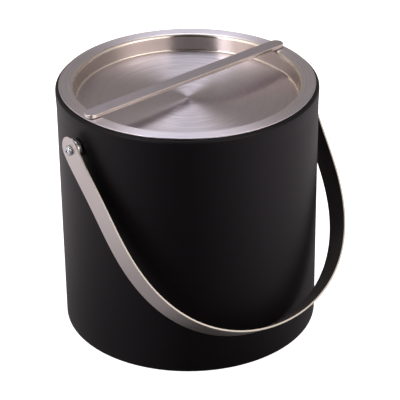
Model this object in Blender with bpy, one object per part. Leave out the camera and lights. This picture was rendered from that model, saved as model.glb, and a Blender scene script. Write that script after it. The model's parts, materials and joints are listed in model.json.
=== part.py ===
"""Round double-wall ice bucket with a swinging strap handle and a lift-off lid.

The bucket is a black coated steel shell around a stainless liner, with foam
between them, a pressed base plate and an anti-slip pad under it. A flat
stainless strap is bent to a U and hangs on two screws, each with a spacer, a
nylon bush and a nut behind the shell. The lid is a recessed stainless pan with a
foam-filled plug under it, a silicone ring round the recess, and a flat bar
across the top to lift it by.

Frame: metres, +Z up, origin on the bucket's axis at the level it stands on. The
strap's pivots lie along X, left at -X, and the strap hangs towards -Y.
"""

import math

import bmesh
import bpy
from mathutils import Matrix, Vector

MM = 0.001

# ---- shared dimensions, millimetres ----------------------------------------
GAP = 0.3                 # clearance kept between pieces that touch
SHEET = 0.8               # sheet thickness of shell, liner, plug and base
FOOT = 0.8                # the anti-slip pad stands this far below the shell
BODY_R = 95.8             # outside radius of the shell
PIVOT_Z = FOOT + 165.9    # height of the strap's pivots
RIM_TOP = FOOT + 190.8    # top of the lid's rim

ROUND = 48                # segments round the big turned pieces
SMALL = 24                # segments round the pivot pieces
SHARP_ANGLE = 35.0        # degrees; steeper edges are shaded sharp

SIDES = (("left", -1), ("right", 1))  # name, direction along X


# ---- scene and materials ---------------------------------------------------
for old in list(bpy.data.objects):
    bpy.data.objects.remove(old, do_unlink=True)


def material(name, colour, roughness, metallic):
    made = bpy.data.materials.new(name)
    made.use_nodes = True
    shader = made.node_tree.nodes["Principled BSDF"]
    shader.inputs["Base Color"].default_value = (*colour, 1.0)
    shader.inputs["Roughness"].default_value = roughness
    shader.inputs["Metallic"].default_value = metallic
    made.diffuse_color = (*colour, 1.0)
    return made


BLACK = material("black_coating", colour=(0.013, 0.012, 0.013), roughness=0.42, metallic=0.0)
STEEL = material("brushed_stainless", colour=(0.60, 0.57, 0.57), roughness=0.30, metallic=1.0)
CHROME = material("polished_chrome", colour=(0.78, 0.76, 0.78), roughness=0.10, metallic=1.0)
ZINC = material("zinc_plate", colour=(0.66, 0.70, 0.74), roughness=0.28, metallic=1.0)
SILICONE = material("dark_silicone", colour=(0.03, 0.03, 0.032), roughness=0.60, metallic=0.0)
NYLON = material("nylon", colour=(0.72, 0.70, 0.66), roughness=0.45, metallic=0.0)
FOAM = material("foam", colour=(0.80, 0.72, 0.50), roughness=0.90, metallic=0.0)


# ---- helpers ---------------------------------------------------------------
def add(name, build, mat):
    """One object whose mesh is filled by build(bm), in metres."""
    mesh = bpy.data.meshes.new(name)
    bm = bmesh.new()
    build(bm)
    bmesh.ops.remove_doubles(bm, verts=bm.verts, dist=1e-6)
    bmesh.ops.recalc_face_normals(bm, faces=bm.faces)
    bm.to_mesh(mesh)
    bm.free()
    mesh.materials.append(mat)
    mesh.shade_smooth()
    mesh.set_sharp_from_angle(angle=math.radians(SHARP_ANGLE))
    obj = bpy.data.objects.new(name, mesh)
    bpy.context.scene.collection.objects.link(obj)
    return obj


def empty(name, location, rotation):
    obj = bpy.data.objects.new(name, None)
    obj.location = location
    obj.rotation_euler = rotation
    bpy.context.scene.collection.objects.link(obj)
    return obj


def arc(center_r, center_z, radius, start, end, steps):
    """Profile points on an arc, angles in degrees."""
    angles = [math.radians(start + (end - start) * i / steps) for i in range(steps + 1)]
    return [(center_r + radius * math.cos(a), center_z + radius * math.sin(a)) for a in angles]


def turned(profile, segments, closed=True):
    """A builder that spins a profile of (radius, height) in mm about Z.

    An open profile starts and ends on the axis.
    """

    def build(bm):
        verts = [bm.verts.new((r * MM, 0.0, z * MM)) for r, z in profile]
        edges = [bm.edges.new(pair) for pair in zip(verts, verts[1:])]
        if closed:
            edges.append(bm.edges.new((verts[-1], verts[0])))
        bmesh.ops.spin(
            bm,
            geom=verts + edges,
            cent=(0, 0, 0),
            axis=(0, 0, 1),
            angle=math.tau,
            steps=segments,
            use_merge=True,
        )

    return build


def rod(radius, low, high, segments=SMALL):
    """A builder for a solid cylinder about Z, from low to high in mm."""
    profile = [(0, low), (radius, low), (radius, high), (0, high)]
    return turned(profile, segments, closed=False)


def cutter(name, build):
    obj = add(name, build, BLACK)
    obj.hide_render = True
    obj.display_type = "WIRE"
    return obj


def cut(obj, tool, name):
    mod = obj.modifiers.new(name, "BOOLEAN")
    mod.operation = "DIFFERENCE"
    mod.solver = "EXACT"
    mod.object = tool


def lay_on_pivot(obj, sign, height=PIVOT_Z):
    """Turn a piece built along +Z to point outwards along X, at this height in mm."""
    obj.location = (0, 0, height * MM)
    obj.rotation_euler = (0, sign * math.pi / 2, 0)


def bore_both_sides(obj, tool_name, cut_name, radius, low, high):
    """Cut a round hole at each pivot, from low to high mm out from the axis."""
    for side, sign in SIDES:
        tool = cutter(f"{side}_{tool_name}", rod(radius, low, high))
        lay_on_pivot(tool, sign)
        cut(obj, tool, f"{side}_{cut_name}")


# ---- outer shell -----------------------------------------------------------
LIP_TOP = FOOT + 189.4    # top of the shell's rolled lip
LIP_R = BODY_R + 0.4      # outside radius of the rolled lip
LIP_ROUND = 2.2           # outside radius of the roll
LEDGE_TOP = FOOT + 187.9  # ledge inside the lip that carries the liner's flange
LEDGE_R = 88.0            # inner edge of the ledge
LEDGE_BEND_R = 91.7       # where the ledge's top turns up to the lip
LEDGE_RISE_R = 93.2       # where that slope meets the lip
LEDGE_RISE_DROP = 0.15    # the slope ends this far below the lip's top
UNDER_BEND_R = 92.1       # the same two points on the underside
UNDER_RISE_R = 93.4
FOOT_HOLE_R = 89.0        # opening in the shell's bottom
FOOT_ROUND = 1.2          # outside rounding at the foot
FOOT_BEVEL = 1.4          # inside bevel at the foot, from the shell's outside
SCREW_HOLE_R = 2.5

# Outside of the wall where it widens to the lip: radius, height.
FLARE = [(BODY_R, 175.2), (BODY_R + 0.2, 180.7), (LIP_R - 0.05, 185.2)]


def build_outer_shell():
    roll_r = LIP_R - LIP_ROUND
    roll_z = LIP_TOP - LIP_ROUND
    outside = (
        [(LEDGE_R, LEDGE_TOP), (LEDGE_BEND_R, LEDGE_TOP)]
        + [(LEDGE_RISE_R, LIP_TOP - LEDGE_RISE_DROP)]
        + arc(roll_r, roll_z, LIP_ROUND, 90, 0, 4)
        + FLARE[::-1]
        + arc(BODY_R - FOOT_ROUND, FOOT + FOOT_ROUND, FOOT_ROUND, 0, -90, 2)
        + [(FOOT_HOLE_R, FOOT)]
    )
    inside = (
        [(FOOT_HOLE_R, FOOT + SHEET), (BODY_R - FOOT_BEVEL, FOOT + SHEET)]
        + [(BODY_R - SHEET, FOOT + FOOT_BEVEL)]
        + [(r - SHEET, z) for r, z in FLARE]
        + arc(roll_r, roll_z, LIP_ROUND - SHEET, 0, 90, 3)
        + [(UNDER_RISE_R, LIP_TOP - SHEET), (UNDER_BEND_R, LEDGE_TOP - SHEET)]
        + [(LEDGE_R, LEDGE_TOP - SHEET)]
    )
    shell = add("outer_shell", turned(outside + inside, ROUND), BLACK)
    bore_both_sides(shell, "shell_drill", "screw_hole", SCREW_HOLE_R, low=88.0, high=100.0)


# ---- liner -----------------------------------------------------------------
LINER_R = 85.0            # inside radius of the ice cavity
LINER_FLOOR = FOOT + 13.0
LINER_CORNER = 14.0
FLANGE_R = 91.4
FLANGE_TOP = FOOT + 189.0
FLANGE_ROUND = 2.2        # rounding from the flange down into the cavity


def build_inner_liner():
    corner_r = LINER_R - LINER_CORNER
    corner_z = LINER_FLOOR + LINER_CORNER
    bend_r = LINER_R + FLANGE_ROUND
    bend_z = FLANGE_TOP - FLANGE_ROUND
    profile = (
        [(FLANGE_R, FLANGE_TOP)]
        + arc(bend_r, bend_z, FLANGE_ROUND, 90, 180, 3)
        + arc(corner_r, corner_z, LINER_CORNER, 0, -90, 5)
        + [(0, LINER_FLOOR), (0, LINER_FLOOR - SHEET)]
        + arc(corner_r, corner_z, LINER_CORNER + SHEET, -90, 0, 5)
        + arc(bend_r, bend_z, FLANGE_ROUND - SHEET, 180, 90, 2)
        + [(FLANGE_R, FLANGE_TOP - SHEET)]
    )
    add("inner_liner", turned(profile, ROUND), STEEL)


# ---- base plate and pad ----------------------------------------------------
BASE_R = 94.1
BASE_BOTTOM = FOOT + SHEET + GAP
BASE_TOP = BASE_BOTTOM + SHEET
BEAD_HIGH = 1.0           # a raised ring pressed into the base plate
BEAD_SPREAD = 0.3         # the bead is this much wider each way underneath
# Inner foot, inner crest, outer crest and outer foot of the bead's top.
BEAD_RADII = (58.0, 60.0, 64.0, 66.0)
PAD_R = 88.4
PAD_BEVEL = 0.4


def bead(spread, height):
    """Section points of the bead, from its inner foot outwards."""
    foot_in, crest_in, crest_out, foot_out = BEAD_RADII
    return [
        (foot_in - spread, height),
        (crest_in - spread, height + BEAD_HIGH),
        (crest_out + spread, height + BEAD_HIGH),
        (foot_out + spread, height),
    ]


def build_base_plate():
    top = [(0, BASE_TOP)] + bead(0, BASE_TOP) + [(BASE_R, BASE_TOP)]
    under = [(0, BASE_BOTTOM)] + bead(BEAD_SPREAD, BASE_BOTTOM) + [(BASE_R, BASE_BOTTOM)]
    add("base_plate", turned(top + under[::-1], ROUND, closed=False), BLACK)


def build_base_pad():
    pad_top = BASE_BOTTOM - GAP
    profile = [
        (0, 0.0),
        (PAD_R - PAD_BEVEL, 0.0),
        (PAD_R, PAD_BEVEL),
        (PAD_R, pad_top),
        (0, pad_top),
    ]
    add("base_pad", turned(profile, ROUND, closed=False), SILICONE)


# ---- foam between shell and liner ------------------------------------------
FOAM_GAP = 0.4            # clearance between the foam and the plates
SLEEVE_IN = 86.3
SLEEVE_OUT = 94.4
SLEEVE_TOP = LEDGE_TOP - SHEET - 0.5
SLEEVE_TOP_R = 93.8       # outside radius at the top, after a bevel
SLEEVE_BEVEL_Z = 185.7    # height where the bevel starts
POCKET_R = 9.5            # pocket in the sleeve round each nut
DISC_R = 85.4


def build_insulation_sleeve():
    profile = [
        (SLEEVE_IN, BASE_TOP + FOAM_GAP),
        (SLEEVE_OUT, BASE_TOP + FOAM_GAP),
        (SLEEVE_OUT, SLEEVE_BEVEL_Z),
        (SLEEVE_TOP_R, SLEEVE_TOP),
        (SLEEVE_IN, SLEEVE_TOP),
    ]
    sleeve = add("insulation_sleeve", turned(profile, ROUND), FOAM)
    bore_both_sides(sleeve, "sleeve_pocket", "nut_pocket", POCKET_R, low=82.0, high=99.0)


def build_insulation_disc():
    low = BASE_TOP + BEAD_HIGH + FOAM_GAP
    high = LINER_FLOOR - SHEET - FOAM_GAP
    add("insulation_disc", rod(DISC_R, low, high, ROUND), FOAM)


# ---- pivots ----------------------------------------------------------------
# Each piece is built along +Z, where z is the distance out from the bucket's
# axis, and is then laid along X.
STRAP_THICK = 1.2
STRAP_HALF = 102.5        # bucket's axis to the strap's mid-thickness at the pivots
STRAP_IN = STRAP_HALF - STRAP_THICK / 2
STRAP_OUT = STRAP_HALF + STRAP_THICK / 2

LOOSE_BORE_R = 2.4        # bore of the spacer and both washers
CLOSE_BORE_R = 2.35       # bore of the bush and the nut

SPACER_R = 6.6
SPACER_IN = BODY_R + GAP
SPACER_OUT = 100.3
SPACER_BEVEL = 0.5

BUSH_FLANGE_R = 5.0
BUSH_R = 3.2
BUSH_OUT = STRAP_OUT - 0.2  # the bush ends just short of the strap's outer face

SCREW_R = 2.0
SCREW_END = 88.0
SCREW_BEVEL = 0.5
HEAD_R = 3.8
HEAD_IN = STRAP_OUT + GAP
HEAD_OUT = HEAD_IN + 2.5
HEAD_SIDE = HEAD_IN + 1.0   # the head is straight up to here, then domed
DOME_ANGLES = (22, 45, 68)  # degrees up the dome

# Cross recess, bottom then top: arm length, half the arm's width, z.
RECESS_LEVELS = ((1.1, 0.35, HEAD_OUT - 1.5), (2.3, 0.5, HEAD_OUT + 0.8))

WASHER_R = 7.0
WASHER_OUT = 94.2
WASHER_IN = WASHER_OUT - 1.0
SPRING_R = 3.7
SPRING_OUT = WASHER_IN - GAP
SPRING_IN = SPRING_OUT - 0.8
SPRING_TURN = 344         # degrees the spring washer goes round
NUT_OUT = SPRING_IN - GAP
NUT_FLATS = 7.0
NUT_HIGH = 3.2


def spacer():
    profile = [
        (LOOSE_BORE_R, SPACER_IN),
        (SPACER_R, SPACER_IN),
        (SPACER_R, SPACER_OUT - SPACER_BEVEL),
        (SPACER_R - SPACER_BEVEL, SPACER_OUT),
        (LOOSE_BORE_R, SPACER_OUT),
    ]
    return turned(profile, SMALL)


def pivot_screw():
    dome_high = HEAD_OUT - HEAD_SIDE
    profile = [
        (0, SCREW_END),
        (SCREW_R - SCREW_BEVEL, SCREW_END),
        (SCREW_R, SCREW_END + SCREW_BEVEL),
        (SCREW_R, HEAD_IN),
        (HEAD_R, HEAD_IN),
        (HEAD_R, HEAD_SIDE),
    ]
    for angle in map(math.radians, DOME_ANGLES):
        profile.append((HEAD_R * math.cos(angle), HEAD_SIDE + dome_high * math.sin(angle)))
    profile.append((0, HEAD_OUT))
    return turned(profile, SMALL, closed=False)


def cross_recess(bm):
    """A cross-shaped pocket for the driver, narrower at its bottom."""
    rings = []
    for arm, half, z in RECESS_LEVELS:
        ring = []
        for quarter in range(4):
            turn = Matrix.Rotation(quarter * math.pi / 2, 3, "Z")
            for x, y in ((arm, -half), (arm, half), (half, half)):
                ring.append(bm.verts.new(turn @ Vector((x * MM, y * MM, z * MM))))
        rings.append(ring)
    low, high = rings
    for i in range(len(low)):
        j = (i + 1) % len(low)
        bm.faces.new((low[i], low[j], high[j], high[i]))
    bm.faces.new(low)
    bm.faces.new(high)


def backing_washer():
    profile = [
        (LOOSE_BORE_R, WASHER_IN),
        (WASHER_R, WASHER_IN),
        (WASHER_R, WASHER_OUT),
        (LOOSE_BORE_R, WASHER_OUT),
    ]
    return turned(profile, SMALL)


def spring_washer(bm):
    """A rectangular section turned not quite all the way round."""
    section = [
        (LOOSE_BORE_R, SPRING_IN),
        (SPRING_R, SPRING_IN),
        (SPRING_R, SPRING_OUT),
        (LOOSE_BORE_R, SPRING_OUT),
    ]
    face = bm.faces.new([bm.verts.new((r * MM, 0.0, z * MM)) for r, z in section])
    bmesh.ops.spin(
        bm,
        geom=[face],
        cent=(0, 0, 0),
        axis=(0, 0, 1),
        angle=math.radians(SPRING_TURN),
        steps=SMALL - 1,
        use_merge=False,
        use_duplicate=False,
    )


def hex_nut(bm):
    corner = NUT_FLATS / 2 / math.cos(math.pi / 6)
    verts = bmesh.ops.create_cone(
        bm,
        cap_ends=True,
        segments=6,
        radius1=corner * MM,
        radius2=corner * MM,
        depth=NUT_HIGH * MM,
    )["verts"]
    bmesh.ops.translate(bm, vec=(0, 0, (NUT_OUT - NUT_HIGH / 2) * MM), verts=verts)


def bush():
    profile = [
        (CLOSE_BORE_R, SPACER_OUT + GAP),
        (BUSH_FLANGE_R, SPACER_OUT + GAP),
        (BUSH_FLANGE_R, STRAP_IN - GAP),
        (BUSH_R, STRAP_IN - GAP),
        (BUSH_R, BUSH_OUT),
        (CLOSE_BORE_R, BUSH_OUT),
    ]
    return turned(profile, SMALL)


def build_pivot(side, sign, bail_pivot):
    """The stack of pieces on one side; only the bush swings with the strap."""

    def place(piece):
        lay_on_pivot(piece, sign)
        return piece

    place(add(f"{side}_spacer", spacer(), CHROME))
    screw = place(add(f"{side}_pivot_screw", pivot_screw(), ZINC))
    cut(screw, place(cutter(f"{side}_cross_recess", cross_recess)), "cross_recess")
    place(add(f"{side}_backing_washer", backing_washer(), ZINC))
    place(add(f"{side}_spring_washer", spring_washer, ZINC))
    nut = place(add(f"{side}_hex_nut", hex_nut, ZINC))
    cut(nut, place(cutter(f"{side}_nut_bore", rod(CLOSE_BORE_R, 85.0, 93.0))), "bore")

    swinging = add(f"{side}_bush", bush(), NYLON)
    swinging.parent = bail_pivot
    lay_on_pivot(swinging, sign, height=0)


# ---- strap handle ----------------------------------------------------------
STRAP_WIDTH = 19.9
STRAP_BOW = (21.0, 110.4, -64.6)  # growth of the U's radius with sin^2, sin^4, sin^6
STRAP_REST = 38.1         # degrees between the resting strap and straight down
STRAP_SPLAY = 1.8         # degrees the section leans, its -Y edge outwards
SPLAY_RUN = 12.0          # degrees below the eyes over which the lean grows
EYE_R = 3.5               # hole in each end of the strap
EYE_REACH = 120.0         # half length of the cutter through both eyes
STRAP_STEPS = 56
END_STEPS = 6


def strap_line(psi):
    """Centre line of the bent strap: across, and down from the pivots' line."""
    sin2 = math.sin(psi) ** 2
    bow = sum(growth * sin2 ** (i + 1) for i, growth in enumerate(STRAP_BOW))
    radius = STRAP_HALF + bow
    return radius * math.cos(psi), radius * math.sin(psi)


def strap_lean(psi):
    """How far the section leans at psi: none at the eyes, all of it a little below."""
    run = min(1.0, min(psi, math.pi - psi) / math.radians(SPLAY_RUN))
    return math.radians(STRAP_SPLAY) * run * run * (3 - 2 * run)


def strap_end(sign, angle):
    """A station of the half-round end at sign along X; the tip is at 90 degrees."""
    half = STRAP_WIDTH / 2
    drop = -half * math.sin(angle)
    return sign * STRAP_HALF, drop, sign * 1.0, 0.0, half * math.cos(angle), 0.0


def strap_stations():
    """Stations along the U: across, down, outward normal (two), half width, lean."""
    ends = [math.pi / 2 * i / END_STEPS for i in range(END_STEPS + 1)]
    stations = [strap_end(1, angle) for angle in reversed(ends)]
    for i in range(1, STRAP_STEPS):
        psi = math.pi * i / STRAP_STEPS
        before = Vector(strap_line(psi - 1e-4))
        after = Vector(strap_line(psi + 1e-4))
        tangent = (after - before).normalized()
        stations.append(
            (*strap_line(psi), tangent.y, -tangent.x, STRAP_WIDTH / 2, strap_lean(psi))
        )
    return stations + [strap_end(-1, angle) for angle in ends]


def strap(bm):
    """A flat section swept along the U, with a half-round end past each pivot."""
    rings = []
    for x, down, normal_x, normal_down, half, lean in strap_stations():
        ring = []
        for face, edge in ((1, -1), (1, 1), (-1, 1), (-1, -1)):
            out = face * STRAP_THICK / 2 - edge * half * math.sin(lean)
            y = edge * half * math.cos(lean)
            z = -(down + normal_down * out)
            ring.append(bm.verts.new(((x + normal_x * out) * MM, y * MM, z * MM)))
        rings.append(ring)
    for ring, following in zip(rings, rings[1:]):
        for i in range(4):
            j = (i + 1) % 4
            bm.faces.new((ring[i], ring[j], following[j], following[i]))
    bm.faces.new(rings[0])
    bm.faces.new(rings[-1])


def build_bail_strap(bail_pivot):
    bail = add("bail_strap", strap, STEEL)
    bail.parent = bail_pivot
    eyes = cutter("strap_eyes", rod(EYE_R, -EYE_REACH, EYE_REACH))
    eyes.parent = bail_pivot
    lay_on_pivot(eyes, 1, height=0)
    cut(bail, eyes, "eyes")


# ---- lid -------------------------------------------------------------------
LID_TURN = 4.3            # degrees the lid is turned from the pivots' line

PAN_SHEET = 1.0           # sheet thickness of the lid's pan
RIM_R = 93.7              # outside radius of the lid's rim
RIM_BEVEL = 0.3
PAN_WALL_R = 82.2         # radius of the recess in the lid
PAN_SHOULDER = 3.0        # rounding from the rim down into the recess
PAN_FLOOR = FOOT + 177.2
PAN_CORNER = 1.6

PLUG_R = 84.3             # outside radius of the plug under the lid
PLUG_BOTTOM = FOOT + 168.2
PLUG_TOP = FOOT + 182.5
PLUG_CORNER = 2.0
LID_FOAM_R = 82.1

SEAL_IN = 83.5
SEAL_OUT = 84.5
SEAL_LOW = PLUG_TOP + 0.5
SEAL_HIGH = SEAL_LOW + 3.0
SEAL_BEVEL = (0.4, 0.8)   # across and up, at both outer edges

BAR_WIDTH = 10.8
BAR_THICK = 2.8
BAR_LENGTH = 187.2
BAR_BOTTOM = RIM_TOP + GAP
BAR_BEVEL = 0.35
BAR_END_STEPS = 8


def lid_pan():
    shoulder_r = PAN_WALL_R + PAN_SHOULDER
    shoulder_z = RIM_TOP - PAN_SHOULDER
    corner_r = PAN_WALL_R - PAN_CORNER
    corner_z = PAN_FLOOR + PAN_CORNER
    profile = (
        [
            (RIM_R - RIM_BEVEL, RIM_TOP - PAN_SHEET),
            (RIM_R, RIM_TOP - PAN_SHEET + RIM_BEVEL),
            (RIM_R, RIM_TOP - RIM_BEVEL),
            (RIM_R - RIM_BEVEL, RIM_TOP),
        ]
        + arc(shoulder_r, shoulder_z, PAN_SHOULDER, 90, 180, 4)
        + arc(corner_r, corner_z, PAN_CORNER, 0, -90, 3)
        + [(0, PAN_FLOOR), (0, PAN_FLOOR - PAN_SHEET)]
        + arc(corner_r, corner_z, PAN_CORNER + PAN_SHEET, -90, 0, 3)
        + arc(shoulder_r, shoulder_z, PAN_SHOULDER - PAN_SHEET, 180, 90, 3)
    )
    return turned(profile, ROUND)


def lid_plug():
    corner_r = PLUG_R - PLUG_CORNER
    corner_z = PLUG_BOTTOM + PLUG_CORNER
    profile = (
        [(0, PLUG_BOTTOM)]
        + arc(corner_r, corner_z, PLUG_CORNER, -90, 0, 3)
        + [(PLUG_R, PLUG_TOP), (PLUG_R - SHEET, PLUG_TOP)]
        + arc(corner_r, corner_z, PLUG_CORNER - SHEET, 0, -90, 2)
        + [(0, PLUG_BOTTOM + SHEET)]
    )
    return turned(profile, ROUND, closed=False)


def lid_insulation():
    return rod(LID_FOAM_R, PLUG_BOTTOM + SHEET + GAP, PAN_FLOOR - PAN_SHEET - GAP, ROUND)


def lid_seal():
    across, up = SEAL_BEVEL
    profile = [
        (SEAL_IN, SEAL_LOW),
        (SEAL_OUT - across, SEAL_LOW),
        (SEAL_OUT, SEAL_LOW + up),
        (SEAL_OUT, SEAL_HIGH - up),
        (SEAL_OUT - across, SEAL_HIGH),
        (SEAL_IN, SEAL_HIGH),
    ]
    return turned(profile, ROUND)


def lid_bar(bm):
    """A flat bar with half-round ends, lying along X."""
    radius = BAR_WIDTH / 2
    reach = BAR_LENGTH / 2 - radius
    right_end = arc(reach, 0, radius, -90, 90, BAR_END_STEPS)
    outline = right_end + [(-x, -y) for x, y in right_end]
    face = bm.faces.new([bm.verts.new((x * MM, y * MM, BAR_BOTTOM * MM)) for x, y in outline])
    grown = bmesh.ops.extrude_face_region(bm, geom=[face])["geom"]
    top = [item for item in grown if isinstance(item, bmesh.types.BMVert)]
    bmesh.ops.translate(bm, vec=(0, 0, BAR_THICK * MM), verts=top)
    rims = [e for e in bm.edges if abs(e.verts[0].co.z - e.verts[1].co.z) < 1e-6]
    bmesh.ops.bevel(
        bm, geom=rims, offset=BAR_BEVEL * MM, segments=1, affect="EDGES", profile=0.5
    )


def build_lid():
    seat = empty("lid_seat", (0, 0, 0), (0, 0, math.radians(LID_TURN)))
    for name, build, mat in (
        ("lid_pan", lid_pan(), STEEL),
        ("lid_plug", lid_plug(), STEEL),
        ("lid_insulation", lid_insulation(), FOAM),
        ("lid_seal", lid_seal(), SILICONE),
        ("lid_bar", lid_bar, STEEL),
    ):
        add(name, build, mat).parent = seat


# ---- assembly --------------------------------------------------------------
build_outer_shell()
build_inner_liner()
build_base_plate()
build_base_pad()
build_insulation_sleeve()
build_insulation_disc()

strap_pivot = empty("bail_pivot", (0, 0, PIVOT_Z * MM), (-math.radians(STRAP_REST), 0, 0))
for side_name, direction in SIDES:
    build_pivot(side_name, direction, strap_pivot)
build_bail_strap(strap_pivot)
build_lid()
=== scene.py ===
"""Looks for the ice bucket: fine turned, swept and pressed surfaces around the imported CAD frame.

Frame: metres, +Z up, origin under the bucket's axis. The strap's pivots lie along X and
the strap rests leaning on the body's -Y side. Profiles and sizes are in mm unless noted.
"""

import json
import math

import bmesh
import bpy
from mathutils import Matrix, Vector


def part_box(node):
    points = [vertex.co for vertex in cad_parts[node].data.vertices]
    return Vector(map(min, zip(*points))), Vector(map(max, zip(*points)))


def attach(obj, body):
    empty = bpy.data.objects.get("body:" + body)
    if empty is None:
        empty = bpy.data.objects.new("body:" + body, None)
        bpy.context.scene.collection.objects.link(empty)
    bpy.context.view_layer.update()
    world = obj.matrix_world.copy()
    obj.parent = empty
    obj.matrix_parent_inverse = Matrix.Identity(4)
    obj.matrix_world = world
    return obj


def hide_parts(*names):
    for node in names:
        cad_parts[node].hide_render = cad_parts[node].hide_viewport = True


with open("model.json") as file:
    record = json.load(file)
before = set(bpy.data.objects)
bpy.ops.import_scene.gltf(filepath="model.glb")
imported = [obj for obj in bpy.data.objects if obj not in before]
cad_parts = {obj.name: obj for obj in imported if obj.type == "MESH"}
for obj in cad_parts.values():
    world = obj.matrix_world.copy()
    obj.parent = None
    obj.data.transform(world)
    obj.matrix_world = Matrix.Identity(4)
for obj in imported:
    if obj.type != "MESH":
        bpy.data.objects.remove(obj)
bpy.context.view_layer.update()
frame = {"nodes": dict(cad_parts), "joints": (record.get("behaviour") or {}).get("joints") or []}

MM = 0.001

# steps round a turned body
ROUND_STEPS = 256
PLAIN_STEPS = 192
SMALL_STEPS = 64
HOLE_STEPS = 48

SIDES = (("left", -1), ("right", 1))


# ---------------------------------------------------------------------------
# places, all from the frame
# ---------------------------------------------------------------------------
def box_mm(node):
    """Low and high corners of a CAD piece, in mm."""
    return [tuple(value / MM for value in corner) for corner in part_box(node)]


(_, _, FOOT), (LIP_R, _, LIP_TOP) = box_mm("outer_shell")
(_, _, LINER_BOTTOM), (FLANGE_R, _, FLANGE_TOP) = box_mm("inner_liner")
(_, _, BASE_BOTTOM), (BASE_R, _, _) = box_mm("base_plate")
_, (PAD_R, _, PAD_TOP) = box_mm("base_pad")
(_, _, PAN_BOTTOM), (_, _, RIM_TOP) = box_mm("lid_pan")
(_, _, PLUG_BOTTOM), (_, _, PLUG_TOP) = box_mm("lid_plug")
(_, _, SEAL_BOTTOM), (_, _, SEAL_TOP) = box_mm("lid_seal")
(_, _, BAR_BOTTOM), (_, _, BAR_TOP) = box_mm("lid_bar")
(SPACER_IN, _, SPACER_BOTTOM), (SPACER_OUT, _, SPACER_TOP) = box_mm("right_spacer")
(SCREW_END, _, _), (HEAD_OUT, _, _) = box_mm("right_pivot_screw")
(BUSH_IN, _, _), (BUSH_OUT, _, _) = box_mm("right_bush")

bail_swing = next(joint for joint in frame["joints"] if joint["name"] == "bail_swing")
PIVOT = Vector(bail_swing["pos_m"])
STRAP_REST = math.radians((360.0 - bail_swing["range_deg"][1]) / 2)

SHEET = 0.8
NICK = 0.1  # small chamfer on the edges of sheet and pad


# ---------------------------------------------------------------------------
# node helpers
# ---------------------------------------------------------------------------
def rgba(red, green, blue):
    return (red, green, blue, 1.0)


def shade(tint, factor):
    """A tint made darker or lighter, held at 1."""
    return rgba(*(min(1.0, channel * factor) for channel in tint))


class Nodes:
    """Short hand for building a node tree. An input takes a plain value or a socket."""

    def __init__(self, tree):
        self.tree = tree

    def set(self, node, inputs):
        for key, value in inputs.items():
            if isinstance(value, bpy.types.NodeSocket):
                self.tree.links.new(value, node.inputs[key])
            else:
                node.inputs[key].default_value = value

    def add(self, kind, inputs=None, **props):
        node = self.tree.nodes.new(kind)
        for name, value in props.items():
            setattr(node, name, value)
        self.set(node, inputs or {})
        return node

    def math(self, operation, first, second=0.0):
        node = self.add("ShaderNodeMath", {0: first, 1: second, 2: 0.0}, operation=operation)
        return node.outputs[0]

    def plus(self, first, second):
        return self.math("ADD", first, second)

    def times(self, first, second):
        return self.math("MULTIPLY", first, second)

    def vmath(self, operation, first, second=None, output=0):
        node = self.add("ShaderNodeVectorMath", {0: first}, operation=operation)
        if second is not None:
            self.set(node, {"Scale" if operation == "SCALE" else 1: second})
        return node.outputs[output]

    def dot(self, vector, axis):
        return self.vmath("DOT_PRODUCT", vector, axis, output=1)

    def remap(self, value, between, to=(0.0, 1.0), **props):
        inputs = dict(enumerate((value, *between, *to)))
        return self.add("ShaderNodeMapRange", inputs, **props).outputs[0]

    def smooth(self, value, between, to=(0.0, 1.0)):
        return self.remap(value, between, to, interpolation_type="SMOOTHSTEP")

    def window(self, value, rise, fall):
        """0 to 1 over the rise, back to 0 over the fall."""
        return self.times(self.smooth(value, rise), self.smooth(value, fall, to=(1.0, 0.0)))

    def noise(self, vector, scale=1.0, detail=3.0, rough=0.5):
        inputs = {"Vector": vector, "Scale": scale, "Detail": detail, "Roughness": rough}
        return self.add("ShaderNodeTexNoise", inputs).outputs["Fac"]

    def streaks(self, parts, scales, detail=3.0, rough=0.6):
        """Noise with its own frequency, per metre or per unit, along each part."""
        scaled = [self.times(part, scale) for part, scale in zip(parts, scales)]
        return self.noise(self.join(*scaled), detail=detail, rough=rough)

    def mix(self, factor, first, second):
        inputs = {0: factor, 6: first, 7: second}
        return self.add("ShaderNodeMix", inputs, data_type="RGBA").outputs[2]

    def xyz(self, vector):
        return tuple(self.add("ShaderNodeSeparateXYZ", {0: vector}).outputs)

    def join(self, x, y, z):
        return self.add("ShaderNodeCombineXYZ", {0: x, 1: y, 2: z}).outputs[0]

    def bump(self, height, strength, distance):
        inputs = {"Height": height, "Strength": strength, "Distance": distance}
        return self.add("ShaderNodeBump", inputs).outputs[0]

    def object_place(self):
        return self.add("ShaderNodeTexCoord").outputs["Object"]

    def round_z(self):
        """Tangent running round the Z axis."""
        return self.add("ShaderNodeTangent", direction_type="RADIAL", axis="Z").outputs[0]


def new_material(name):
    material = bpy.data.materials.new(name)
    material.use_nodes = True
    tree = material.node_tree
    return material, Nodes(tree), tree.nodes["Principled BSDF"]


def brushed_metal(nodes, shader, colour, rough, aniso, tangent, normal):
    nodes.set(shader, {
        "Base Color": colour,
        "Metallic": 1.0,
        "Roughness": rough,
        "Anisotropic": aniso,
        "Anisotropic Rotation": 0.25,
        "Tangent": tangent,
        "Normal": normal,
    })


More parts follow.
